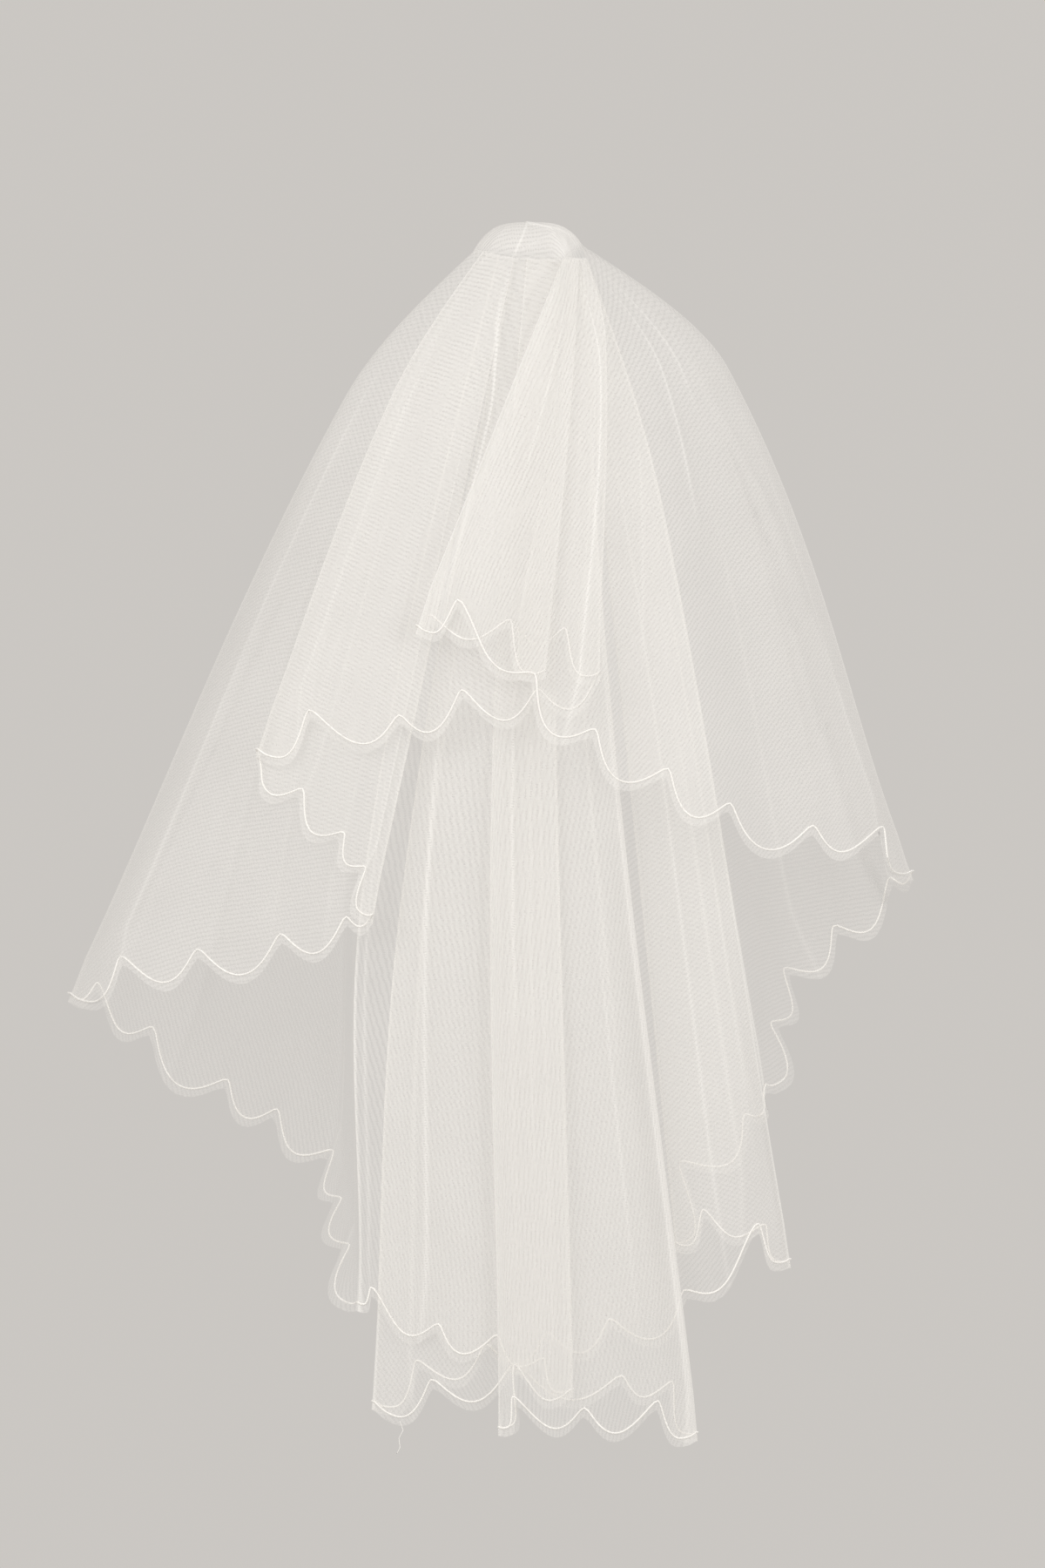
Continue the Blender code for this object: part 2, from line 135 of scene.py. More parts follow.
Fold = namedtuple("Fold", "top_across top_drop end_across end_drop bow bow_at")
FOLDS = {
    "pleat_left": Fold(3.0, 3.45, -11.6, 39.7, 0.0, 0.3),
    "pleat_inner": Fold(4.6, 3.5, 1.3, 44.2, 0.4, 0.4),
    "pleat_second": Fold(3.7, 3.5, -1.6, 39.7, 0.9, 0.45),
    "pleat_right": Fold(5.3, 3.5, 6.7, 44.4, 1.7, 0.2),
    "left_fall": Fold(-4.9, 2.75, -27.4, 51.9, -2.5, 0.3),
    "left_tuck": Fold(-1.8, 3.5, -15.8, 68.3, 0.0, 0.3),
    "left_wing": Fold(-5.6, 2.6, -45.9, 76.0, -4.9, 0.2),
    "left_turn": Fold(-3.4, 3.2, -17.3, 106.6, -5.0, 0.6),
    "train_left": Fold(-1.8, 3.5, -15.9, 116.3, -3.3, 0.56),
    "panel_left": Fold(-0.6, 3.5, -3.4, 118.9, -2.2, 0.45),
    "panel_inner": Fold(2.8, 3.8, 4.0, 115.1, -1.0, 0.3),
    "panel_right": Fold(5.1, 3.6, 16.3, 119.4, -1.6, 0.4),
    "train_right": Fold(5.4, 3.6, 25.5, 102.3, 2.5, 0.25),
    "right_tuck": Fold(4.4, 3.6, 14.1, 100.7, 0.0, 0.3),
    "right_fall": Fold(5.1, 3.6, 23.0, 85.1, 2.2, 0.25),
    "right_wing": Fold(4.7, 2.1, 37.6, 64.0, 8.1, 0.2),
}

# The stretches in the order of the hem. Peaks are those of the corded line between scallops:
# across, drop, and the share of the way from the side of the back to the side of the front.
Stretch = namedtuple("Stretch", "layer first last first_front last_front peaks")
STRETCHES = {
    "upper_right": Stretch(14, "pleat_left", "right_wing", 0, 0, (
        (-7.4, 37.2, 0),
        (0.2, 44.5, 0),
        (6.2, 50.0, 0),
        (13.4, 53.9, 0),
        (19.5, 57.3, 0),
        (27.7, 59.5, 0),
        (34.6, 59.6, 0),
    )),
    "right_wing_far": Stretch(0, "right_wing", "right_fall", 1, 0, (
        (35.3, 64.6, 1),
        (29.7, 69.4, 1),
        (24.8, 73.6, 0.8),
        (23.5, 79.0, 0.35),
    )),
    "right_fall": Stretch(1, "right_fall", "right_tuck", 0, 0, (
        (20.9, 88.0, 0),
        (14.5, 92.7, 0),
    )),
    "right_return": Stretch(2, "right_tuck", "train_right", 0, 0, (
        (16.8, 97.4, 0),
        (23.0, 98.9, 0),
    )),
    "train_far": Stretch(3, "train_right", "train_left", 0, 0, (
        (22.3, 98.8, 0),
        (14.9, 105.4, 0),
        (7.6, 108.2, 0),
        (1.4, 109.5, 0),
        (-4.6, 110.7, 0),
        (-11.5, 112.3, 0),
    )),
    "panel_back": Stretch(4, "train_left", "panel_right", 0, 0, (
        (-10.0, 114.2, 0),
        (-1.8, 112.6, 0),
        (8.8, 113.8, 0),
        (13.8, 114.4, 0),
    )),
    "panel": Stretch(7, "panel_right", "panel_left", 0, 0, (
        (12.4, 116.3, 0),
        (5.1, 117.0, 0),
        (-2.0, 115.9, 0),
    )),
    "panel_pleat": Stretch(6, "panel_left", "panel_inner", 0, 0, (
        (-1.8, 112.7, 0),
    )),
    "train_left": Stretch(5, "panel_inner", "left_turn", 0, 0, (
        (1.1, 112.1, 0),
        (-3.5, 109.8, 0),
        (-9.3, 108.7, 0),
        (-16.0, 105.1, 0),
    )),
    "left_wing_far": Stretch(4.5, "left_turn", "left_wing", 0, 1, (
        (-18.1, 100.9, 0.35),
        (-18.9, 96.3, 0.75),
        (-19.7, 91.6, 1),
        (-25.2, 87.5, 1),
        (-30.1, 84.6, 1),
        (-37.5, 79.4, 1),
        (-43.0, 75.0, 1),
    )),
    "left_wing_near": Stretch(8, "left_wing", "left_tuck", 0, 0, (
        (-40.7, 72.4, 0),
        (-33.1, 71.7, 0),
        (-24.9, 70.2, 0),
        (-18.4, 68.5, 0),
    )),
    "left_return": Stretch(8.9, "left_tuck", "left_fall", 0, 0, (
        (-16.5, 63.6, 0),
        (-18.6, 60.2, 0),
        (-22.7, 55.9, 0),
    )),
    "upper_left": Stretch(10.25, "left_fall", "pleat_right", 0, 0, (
        (-22.1, 48.1, 0),
        (-13.2, 48.6, 0),
        (-7.0, 46.1, 0),
        (0.5, 46.0, 0),
    )),
    "pleat_back": Stretch(11, "pleat_right", "pleat_second", 0, 0, (
        (3.2, 40.0, 0),
    )),
    "pleat_tuck": Stretch(12, "pleat_second", "pleat_inner", 0, 0, ()),
    "pleat_front": Stretch(13, "pleat_inner", "pleat_left", 0, 0, (
        (-2.2, 39.2, 0),
        (-10.3, 38.7, 0),
    )),
}

# Creases run down a stretch. Place counts its scallops from its first fold, start and stop are
# shares of the way down, height is how far the net stands out there, width how far that spreads,
# and line how plainly the pinched net shows as a bright line.
Crease = namedtuple("Crease", "stretch place start stop height width line")
CREASES = (
    Crease("upper_right", 0.55, 0.1, 0.9, 0.10, 0.5, 0.0),
    Crease("upper_right", 1.35, 0.05, 0.7, 0.22, 0.7, 0.25),
    Crease("upper_right", 2.1, 0.2, 0.8, -0.18, 0.9, 0.0),
    Crease("upper_right", 2.72, 0.02, 1.1, 0.26, 0.8, 0.5),
    Crease("upper_right", 3.7, 0.3, 0.9, 0.2, 0.9, 0.12),
    Crease("upper_right", 4.3, 0.35, 0.95, -0.22, 1.1, 0.0),
    Crease("upper_right", 5.05, 0.0, 0.55, 0.3, 0.8, 0.4),
    Crease("upper_right", 5.7, 0.0, 0.32, 0.24, 0.6, 0.45),
    Crease("upper_right", 6.4, 0.3, 1.1, -0.25, 1.2, 0.0),
    Crease("upper_right", 7.1, 0.25, 1.1, 0.28, 1.0, 0.2),
    Crease("right_wing_far", 0.8, 0.2, 1.1, 0.3, 1.0, 0.0),
    Crease("right_wing_far", 1.7, 0.1, 0.9, -0.28, 0.8, 0.1),
    Crease("right_wing_far", 2.6, 0.3, 1.1, 0.3, 0.7, 0.25),
    Crease("right_wing_far", 3.6, 0.05, 0.8, 0.2, 0.6, 0.0),
    Crease("right_fall", 0.7, 0.3, 1.1, 0.2, 0.6, 0.35),
    Crease("right_fall", 1.6, 0.15, 1.0, -0.2, 0.8, 0.0),
    Crease("right_fall", 2.4, 0.45, 1.1, 0.22, 0.6, 0.3),
    Crease("right_return", 0.8, 0.2, 0.9, 0.2, 0.7, 0.0),
    Crease("right_return", 1.7, 0.4, 1.1, 0.24, 0.6, 0.3),
    Crease("train_far", 0.7, 0.2, 1.0, 0.2, 0.8, 0.1),
    Crease("train_far", 1.5, 0.1, 1.1, 0.25, 0.6, 0.3),
    Crease("train_far", 2.6, 0.35, 1.1, -0.2, 0.9, 0.0),
    Crease("train_far", 3.4, 0.05, 0.8, 0.22, 0.7, 0.1),
    Crease("train_far", 4.5, 0.2, 1.1, 0.25, 0.6, 0.25),
    Crease("train_far", 5.6, 0.4, 1.1, -0.2, 0.8, 0.0),
    Crease("train_far", 6.3, 0.1, 0.9, 0.2, 0.6, 0.2),
    Crease("panel_back", 0.6, 0.1, 1.1, 0.2, 0.6, 0.3),
    Crease("panel_back", 1.6, 0.3, 1.0, 0.22, 0.7, 0.1),
    Crease("panel_back", 2.7, 0.15, 1.1, -0.2, 0.8, 0.0),
    Crease("panel_back", 3.6, 0.05, 0.8, 0.22, 0.6, 0.35),
    Crease("panel_back", 4.8, 0.3, 1.1, 0.1, 0.3, 0.6),
    Crease("panel", 0.07, 0.05, 1.1, 0.12, 0.3, 0.9),
    Crease("panel", 0.17, 0.12, 1.1, -0.08, 0.3, 0.6),
    Crease("panel", 1.2, 0.5, 1.0, 0.2, 0.5, 0.25),
    Crease("panel", 2.1, 0.35, 1.1, -0.16, 0.8, 0.0),
    Crease("panel", 2.75, 0.3, 0.75, 0.2, 0.5, 0.4),
    Crease("panel_pleat", 0.6, 0.2, 1.1, 0.15, 0.5, 0.0),
    Crease("panel_pleat", 1.4, 0.1, 0.9, 0.15, 0.5, 0.2),
    Crease("train_left", 0.7, 0.2, 1.1, 0.2, 0.6, 0.3),
    Crease("train_left", 1.6, 0.05, 0.9, 0.22, 0.7, 0.1),
    Crease("train_left", 2.5, 0.3, 1.1, -0.2, 0.8, 0.0),
    Crease("train_left", 3.2, 0.35, 1.1, 0.25, 0.6, 0.45),
    Crease("train_left", 4.3, 0.4, 1.1, 0.2, 0.6, 0.3),
    Crease("left_wing_far", 0.7, 0.3, 1.1, 0.2, 0.6, 0.3),
    Crease("left_wing_far", 1.6, 0.1, 0.9, 0.2, 0.6, 0.0),
    Crease("left_wing_far", 2.7, 0.2, 1.1, 0.28, 0.8, 0.25),
    Crease("left_wing_far", 3.8, 0.35, 1.1, -0.25, 1.0, 0.0),
    Crease("left_wing_far", 4.7, 0.3, 0.95, 0.25, 0.8, 0.12),
    Crease("left_wing_far", 5.6, 0.25, 1.1, 0.3, 0.7, 0.0),
    Crease("left_wing_far", 6.7, 0.4, 1.1, -0.28, 1.0, 0.0),
    Crease("left_wing_near", 0.8, 0.1, 1.1, 0.28, 0.8, 0.3),
    Crease("left_wing_near", 1.7, 0.3, 1.0, -0.25, 1.0, 0.0),
    Crease("left_wing_near", 2.5, 0.05, 0.8, 0.25, 0.9, 0.12),
    Crease("left_wing_near", 3.6, 0.35, 1.1, 0.22, 0.8, 0.1),
    Crease("left_wing_near", 4.4, 0.4, 1.1, 0.2, 0.9, 0.0),
    Crease("left_return", 0.7, 0.2, 1.1, 0.2, 0.6, 0.3),
    Crease("left_return", 1.8, 0.1, 0.8, 0.2, 0.6, 0.0),
    Crease("left_return", 2.9, 0.4, 1.1, 0.22, 0.6, 0.15),
    Crease("upper_left", 0.6, 0.15, 1.1, 0.22, 0.7, 0.15),
    Crease("upper_left", 1.5, 0.05, 0.8, 0.2, 0.6, 0.0),
    Crease("upper_left", 2.3, 0.3, 1.1, -0.2, 0.8, 0.0),
    Crease("upper_left", 2.35, 0.0, 0.85, 0.26, 0.45, 0.55),
    Crease("upper_left", 4.4, 0.2, 0.9, 0.18, 0.8, 0.1),
    Crease("pleat_back", 0.6, 0.2, 1.1, 0.12, 0.5, 0.2),
    Crease("pleat_tuck", 0.5, 0.1, 0.9, 0.1, 0.5, 0.0),
    Crease("pleat_front", 0.8, 0.15, 1.1, 0.14, 0.5, 0.15),
    Crease("pleat_front", 2.2, 0.05, 0.9, 0.14, 0.5, 0.0),
)

# The long fold of a stretch starts this many scallops aside at the crown, over this spread
DRIFT_STRETCH = "upper_left"
DRIFT_PLACE = 2.35
DRIFT_ASIDE = -0.75
DRIFT_SPREAD = 0.95

# The crown's rim over the back, from left to right, and the layer that it meets there
Rim = namedtuple("Rim", "across drop layer")
CROWN_RIM = (
    Rim(-5.6, 2.45, 6.5),
    Rim(-5.1, 2.58, 8.5),
    Rim(-4.2, 2.65, 10.0),
    Rim(-2.6, 2.75, 10.0),
    Rim(-0.8, 2.9, 10.0),
    Rim(1.0, 3.05, 10.4),
    Rim(2.2, 3.2, 12.4),
    Rim(3.1, 3.2, 14.0),
    Rim(3.7, 2.75, 13.6),
    Rim(4.3, 2.27, 11.0),
    Rim(4.7, 1.95, 7.0),
)
CROWN_TOP = Vector((-0.2, -0.8, 0.0))
CROWN_FRONT = 3.6
CROWN_SQUARENESS = 3.5
CROWN_FLAT = 6.0
CROWN_ROUND = 160
CROWN_RINGS = 34
CROWN_SKIRT = 1.08
CROWN_TOP_RING = 0.04
CROWN_RING_CROWDING = 0.9
CROWN_LIFT = 0.06
CROWN_CREASE_HEIGHT = 0.14

# Creases over the crown, as they are seen: from one place to another, and how plainly they show
CrownCrease = namedtuple("CrownCrease", "from_across from_drop to_across to_drop line")
CROWN_CREASES = (
    CrownCrease(-0.5, 0.0, -1.0, 1.4, 0.7),
    CrownCrease(-1.0, 1.4, -2.0, 3.6, 0.8),
    CrownCrease(-1.9, 3.0, 2.6, 0.7, 0.5),
    CrownCrease(0.9, 4.6, 3.3, 2.5, 0.6),
    CrownCrease(-0.4, 0.1, 2.4, 0.6, 0.8),
    CrownCrease(2.4, 0.6, 3.9, 1.4, 0.9),
    CrownCrease(3.9, 1.4, 5.2, 3.4, 0.7),
    CrownCrease(-3.6, 0.4, -5.4, 2.8, 0.3),
    CrownCrease(3.3, 1.1, 3.2, 3.6, 0.5),
    CrownCrease(-3.2, 0.4, -0.6, 0.1, 0.3),
)

# How far a crease over the crown shows, the density of the layers gathered there, which doubles
# beside the pleats, and the density at the end of the skirt, where the net fades out
CROWN_PINCHED = 0.14
CROWN_LAYERS = 0.27
SKIRT_END = -0.24

# The stage, in metres
FLOOR_RADIUS = 1.1
FLOOR_HEIGHT = -1.64
FLOOR_SIDES = 96
FLOOR_COLOURS = ((0.62, 0.61, 0.59, 1), (0.66, 0.65, 0.63, 1))
WALL_COLOUR = (0.595, 0.572, 0.545, 1)
LIGHT_COLOUR = (1.0, 0.99, 0.97)
LIGHTS_AIM = Vector((0, 0, -0.6))


def mix(a, b, share):
    return a + (b - a) * share


def smooth_step(value, low, high):
    share = min(max((value - low) / (high - low), 0.0), 1.0)
    return share * share * (3 - 2 * share)


def bow_shape(t, peak):
    """Nothing at both ends of a line and 1 at its peak."""
    if t <= peak:
        return math.sin(math.pi / 2 * max(t, 0.0) / peak)
    left = max(math.cos(math.pi / 2 * (min(t, 1.0) - peak) / (1 - peak)), 0.0)
    return left ** BOW_SHARPNESS


def scallop(along):
    """The depth of a scalloped line as a share: 0 at its rounded peaks, and 1 in the middle."""
    peak = PEAK_ROUNDING ** SCALLOP_ROUND
    bent = math.hypot(math.sin(math.pi * along), PEAK_ROUNDING) ** SCALLOP_ROUND
    middle = math.hypot(1.0, PEAK_ROUNDING) ** SCALLOP_ROUND
    return (bent - peak) / (middle - peak)


def side_reach(drop, side):
    """How far out the veil spreads at a drop, on the side of the sign given."""
    wing = FOLDS["right_wing" if side > 0 else "left_wing"]
    t = min(max((drop - wing.top_drop) / (wing.end_drop - wing.top_drop), 0.0), 1.0)
    return abs(mix(wing.top_across, wing.end_across, t) + wing.bow * bow_shape(t, wing.bow_at))


def layer_spacing(drop):
    loosened = 1 - math.exp(-max(drop - BACK_START, 0) / LAYER_FALL)
    return LAYER_AT_CROWN + LAYER_LOOSENING * loosened


def depth_at(across, drop, layer, front):
    """The depth of a layer that is seen at across and drop, negative behind the crown."""
    reach = side_reach(drop, across)
    share = min(abs(across) / reach, 1.0)
    back = BACK_AT_CROWN + BACK_REACH * (1 - math.exp(-max(drop - BACK_START, 0) / BACK_FALL))
    phase = 2 * math.pi * (math.copysign(share, across) * WAVES_TO_A_SIDE + WAVE_START)
    wave = WAVE_HEIGHT * min(drop / WAVE_GROWS_OVER, 1.0) * math.sin(phase)
    turn = math.pi / 2 * share ** BACK_FLATNESS
    slope = back * math.sin(turn) * math.pi / 2 * BACK_FLATNESS / reach
    near = -back * math.cos(turn) - layer_spacing(drop) * layer * math.hypot(1, slope) + wave
    opened = front * smooth_step(drop, WING_OPENS_FROM, WING_OPENS_TO)
    return mix(near, WING_FRONT + wave, opened)


def placed(across, drop, depth):
    """The point in metres for a place as it is seen: nearer cloth is drawn in to look as wide."""
    pull = (SIGHT + depth) / SIGHT
    x = SIGHT_ACROSS + (across - SIGHT_ACROSS) * pull
    z = -(SIGHT_DROP + (drop - SIGHT_DROP) * pull)
    return Vector((x, depth, z)) * CM


def fold_sides():
    """For each fold, the layer and front share of the two stretches that meet in it."""
    sides = {name: [] for name in FOLDS}
    for stretch in STRETCHES.values():
        sides[stretch.first].append((stretch.layer, stretch.first_front))
        sides[stretch.last].append((stretch.layer, stretch.last_front))
    return sides


FOLD_SIDES = fold_sides()


class Sheet:
    """One stretch as a surface: place runs along its hem from fold to fold, t from crown to hem."""

    def __init__(self, name):
        self.stretch = stretch = STRETCHES[name]
        self.creases = [c for c in CREASES if c.stretch == name]
        self.folds = (FOLDS[stretch.first], FOLDS[stretch.last])
        self.sides = (FOLD_SIDES[stretch.first], FOLD_SIDES[stretch.last])
        self.fronts = (stretch.first_front, stretch.last_front)
        first, last = self.folds
        self.stations = (
            (first.end_across, first.end_drop, stretch.first_front),
            *stretch.peaks,
            (last.end_across, last.end_drop, stretch.last_front),
        )
        self.last = len(self.stations) - 1
        self.chords = [math.dist(a[:2], b[:2]) for a, b in zip(self.stations, self.stations[1:])]
        self.shares = [sum(self.chords[:i]) / sum(self.chords) for i in range(self.last + 1)]
        self.ways = self.ways_at_stations()
        self.hem_ways = self.hem_ways_at_stations()
        self.turns = []

    def ways_at_stations(self):
        """The direction of the smooth line through the stations at each of them."""
        slopes = [
            [(q - p) / chord for p, q in zip(a, b)]
            for a, b, chord in zip(self.stations, self.stations[1:], self.chords)
        ]
        ways = [slopes[0]]
        for i in range(1, self.last):
            before, after = self.chords[i - 1], self.chords[i]
            share = before / (before + after)
            ways.append([mix(p, q, share) for p, q in zip(slopes[i - 1], slopes[i])])
        return [*ways, slopes[-1]]

    def hem_ways_at_stations(self):
        """Which way the scallops leave the corded line at each station: away from it, and down."""
        ways = [Vector((0, 1)) for _ in self.stations]
        for i, (a, b) in enumerate(zip(self.stations, self.stations[1:])):
            away = Vector((a[1] - b[1], b[0] - a[0])).normalized()
            if away.y < 0:
                away.negate()
            ways[i] += away
            ways[i + 1] += away
        return [way.normalized() for way in ways]

    def station(self, place):
        """Across, drop and front share on the smooth line through the stations."""
        i = min(int(place), self.last - 1)
        f = place - i
        a, b = self.stations[i], self.stations[i + 1]
        chord = self.chords[i]
        found = [
            (1 + 2 * f) * (1 - f) ** 2 * a[k]
            + f * (1 - f) ** 2 * chord * self.ways[i][k]
            + f * f * (3 - 2 * f) * b[k]
            - f * f * (1 - f) * chord * self.ways[i + 1][k]
            for k in range(3)
        ]
        return found[0], found[1], min(max(found[2], 0.0), 1.0)

    def share(self, place):
        i = min(int(place), self.last - 1)
        return mix(self.shares[i], self.shares[i + 1], place - i)

    def place_at(self, share):
        """The place that lies this share of the way along the hem."""
        i = max(k for k in range(self.last) if self.shares[k] <= share)
        return i + min((share - self.shares[i]) / (self.shares[i + 1] - self.shares[i]), 1.0)

    def seen(self, place, t):
        """Where the line of this place is seen at t: across and drop."""
        first, last = self.folds
        share = self.share(place)
        across, drop, _ = self.station(place)
        bow = mix(first.bow, last.bow, share) * bow_shape(t, mix(first.bow_at, last.bow_at, share))
        top_across = mix(first.top_across, last.top_across, share)
        top_drop = mix(first.top_drop, last.top_drop, share)
        return mix(top_across, across, t) + bow, mix(top_drop, drop, t)

    def turned(self, here, t, extra):
        """How far the cloth leaves its own layer near a fold, in depth, to round it."""
        ends = (self.seen(0, t), self.seen(self.last, t))
        width = math.dist(*ends)
        offset = 0.0
        for end, sides, front in zip(ends, self.sides, self.fronts):
            away = math.dist(here, end)
            if away > ROUNDING_REACH:
                continue
            low = (end[0] + extra[0], end[1] + extra[1])
            depths = [depth_at(*low, *side) for side in sides]
            whole = sum(depths) / 2 - depth_at(*low, self.stretch.layer, front)
            radius = min(abs(whole), WIDEST_ROUNDING * width)
            if away < radius:
                offset += whole * (1 - math.sqrt(1 - (1 - away / radius) ** 2))
        return offset

    def point(self, place, t, extra=(0.0, 0.0), lift=0.0):
        """The point of this place at t, moved by extra as seen and by lift towards the viewer."""
        here = self.seen(place, t)
        across, drop = here[0] + extra[0], here[1] + extra[1]
        depth = depth_at(across, drop, self.stretch.layer, self.station(place)[2])
        return placed(across, drop, depth + self.turned(here, t, extra) - lift)

    def hem_reach(self, place, below):
        """How far the scalloped line is from the line of the peaks, as across and drop."""
        i = min(int(place), self.last - 1)
        way = self.hem_ways[i].lerp(self.hem_ways[i + 1], place - i)
        near_fold = smooth_step(min(place, self.last - place), 0.0, STRAIGHT_BESIDE_FOLD)
        way = mix(Vector((0, 1)), way, near_fold).normalized()
        deepest = min(SCALLOP_DEPTH, SCALLOP_SHARE * self.chords[i])
        reach = deepest * scallop(place - i) + below
        return way.x * reach, way.y * reach

    def flat_length(self, place):
        """How far the line of the peaks is from the middle of the flat oval."""
        across, drop, _ = self.station(place)
        top = self.folds[0]
        return CROWN_FLAT + math.hypot(across - top.top_across, drop - top.top_drop)

    def flat_place(self, place, length):
        turn = np.interp(place, *zip(*self.turns))
        return length * math.cos(turn), length * math.sin(turn)

    def from_fold(self, place):
        return min(place * self.chords[0], (self.last - place) * self.chords[-1])

    def fold_radius(self, end):
        seen = self.stations[end][:2]
        k = 0 if end == 0 else 1
        depths = [depth_at(*seen, *side) for side in self.sides[k]]
        whole = abs(sum(depths) / 2 - depth_at(*seen, self.stretch.layer, self.fronts[k]))
        return min(whole, WIDEST_ROUNDING * math.dist(self.stations[0][:2], self.stations[-1][:2]))

    def places(self):
        """The places of its columns: even ones along the hem, closer ones at folds and creases."""
        steps = range(STEPS_TO_A_SCALLOP)
        even = [i + k / STEPS_TO_A_SCALLOP for i in range(self.last) for k in steps]
        close = {0.0}
        for share in ROUNDING_SHARES:
            close.add(share * self.fold_radius(0) / self.chords[0])
            close.add(self.last - share * self.fold_radius(self.last) / self.chords[-1])
        for crease in self.creases:
            chord = self.chords[min(int(crease.place), self.last - 1)]
            close |= {crease.place + k * crease.width / chord for k in RIDGE_SHARES}
        close = {p for p in close if 0 <= p < self.last - 0.004}
        kept = []
        for place in sorted(close):
            if not kept or (place - kept[-1]) * self.chords[int(place)] > CLOSEST_COLUMNS:
                kept.append(place)
        gap = CLOSEST_STEPS / STEPS_TO_A_SCALLOP
        kept += [p for p in even if min(abs(p - q) for q in kept) > gap]
        return sorted(kept)

    def ridge(self, place, t, drop):
        """How far creases lift the net at a place, and how dense they make it."""
        lift = 0.0
        dense = 0.0
        for c in self.creases:
            chord = self.chords[min(int(c.place), self.last - 1)]
            away = (place - c.place) * chord / c.width
            if abs(away) > RIDGE_END:
                continue
            fade = smooth_step(t, c.start, c.start + RIDGE_FADE)
            fade *= 1 - smooth_step(t, c.stop - RIDGE_FADE, c.stop)
            room = layer_spacing(drop) / (LAYER_AT_CROWN + LAYER_LOOSENING)
            lift += c.height * room * fade * math.exp(-away * away)
            dense = max(dense, c.line * fade * math.exp(-((away * c.width / PINCHED) ** 2)))
        return lift, dense


SHEETS = {name: Sheet(name) for name in STRETCHES}
Column = namedtuple("Column", "sheet place top_place turn length")


def hem_columns():
    """All columns in the order of the hem, with their turn and length on the flat oval."""
    found = []
    for name, sheet in SHEETS.items():
        places = sheet.places()
        for i, place in enumerate(places):
            top_place = mix(place, sheet.place_at(i / len(places)), EVENED)
            if name == DRIFT_STRETCH:
                top_place += DRIFT_ASIDE * math.exp(-(((place - DRIFT_PLACE) / DRIFT_SPREAD) ** 2))
                top_place = max(top_place, 0.0)
            found.append([sheet, place, top_place, 0.0, sheet.flat_length(place)])
    turn = 0.0
    for k, column in enumerate(found):
        column[3] = turn
        following = found[(k + 1) % len(found)]
        step = following[0].point(following[1], 1.0) - column[0].point(column[1], 1.0)
        turn += step.length / CM / mix(column[4], following[4], 0.5)
    whole = 2 * math.pi / turn
    columns = [Column(c[0], c[1], c[2], c[3] * whole, c[4]) for c in found]
    for c, following in zip(columns, [*columns[1:], None]):
        c.sheet.turns.append((c.place, c.turn))
        if following is None or following.sheet is not c.sheet:
            c.sheet.turns.append((c.sheet.last, following.turn if following else 2 * math.pi))
    return columns


def net_rows():
    return [(k / ROWS) ** ROW_CROWDING for k in range(ROWS + 1)]


def crinkle(x, y, drop):
    """Small uneven waves of soft net, in centimetres, from its place on the flat oval."""
    height = sum(
        high * noise.noise(Vector((x * often, y * often, read_at)))
        for often, read_at, high in CRINKLES
    )
    return height * min(drop / CRINKLES_GROW_OVER, 1.0)


def fall_points():
    """Points of the falling net, ring after ring, with flat places and density."""
    columns = hem_columns()
    points, flat, dense = [], [], []
    shares = net_rows()
    for row in range(ROWS + BAND_ROWS + 1):
        share = shares[min(row, ROWS)]
        band = max(row - ROWS, 0) / BAND_ROWS
        for c in columns:
            place = mix(c.top_place, c.place, smooth_step(share, 0.0, EVENED_ABOVE))
            top, bottom = c.sheet.seen(place, 0)[1], c.sheet.seen(place, 1)[1]
            t_band = 1 - HEM_BAND / (bottom - top)
            t = mix(share * t_band, 1.0, band)
            reach = c.sheet.hem_reach(place, EDGE_BELOW_CORD)
            extra = (reach[0] * band, reach[1] * band)
            lift, density = c.sheet.ridge(c.place, t, mix(top, bottom, t))
            length = mix(CROWN_FLAT, c.length, t) + math.hypot(*extra)
            x, y = c.sheet.flat_place(place, length)
            near_fold = c.sheet.from_fold(c.place)
            lift = (lift + crinkle(x, y, length)) * smooth_step(near_fold, 0.0, CALM_BESIDE_FOLD)
            points.append(c.sheet.point(place, t, extra, lift))
            flat.append((x * CM, y * CM))
            near_last = c.place > c.sheet.last / 2
            fold = c.sheet.stretch.last if near_last else c.sheet.stretch.first
            at_fold = WING_LINE if fold.endswith("wing") else 1.0
            dense.append(max(density, at_fold * math.exp(-((near_fold / PINCHED) ** 2))))
    return len(columns), points, flat, dense


def crown_rim():
    """The rim of the crown as places and depths: over the back, then round by the front."""
    rim = [Vector((p.across, depth_at(p.across, p.drop, p.layer, 0), p.drop)) for p in CROWN_RIM]
    left, right = rim[0], rim[-1]
    for k in range(1, 8):
        turn = k / 8
        across = mix(right.x, left.x, 0.5 - 0.5 * math.cos(math.pi * turn))
        depth = mix(right.y, left.y, turn) + CROWN_FRONT * math.sin(math.pi * turn)
        rim.append(Vector((across, depth, mix(right.z, left.z, turn))))
    return rim


def away_from_line(across, drop, c):
    """How far a place is from the line of a crease over the crown."""
    run, fall = c.to_across - c.from_across, c.to_drop - c.from_drop
    along = (across - c.from_across) * run + (drop - c.from_drop) * fall
    along = min(max(along / (run * run + fall * fall), 0.0), 1.0)
    return math.hypot(across - c.from_across - run * along, drop - c.from_drop - fall * along)


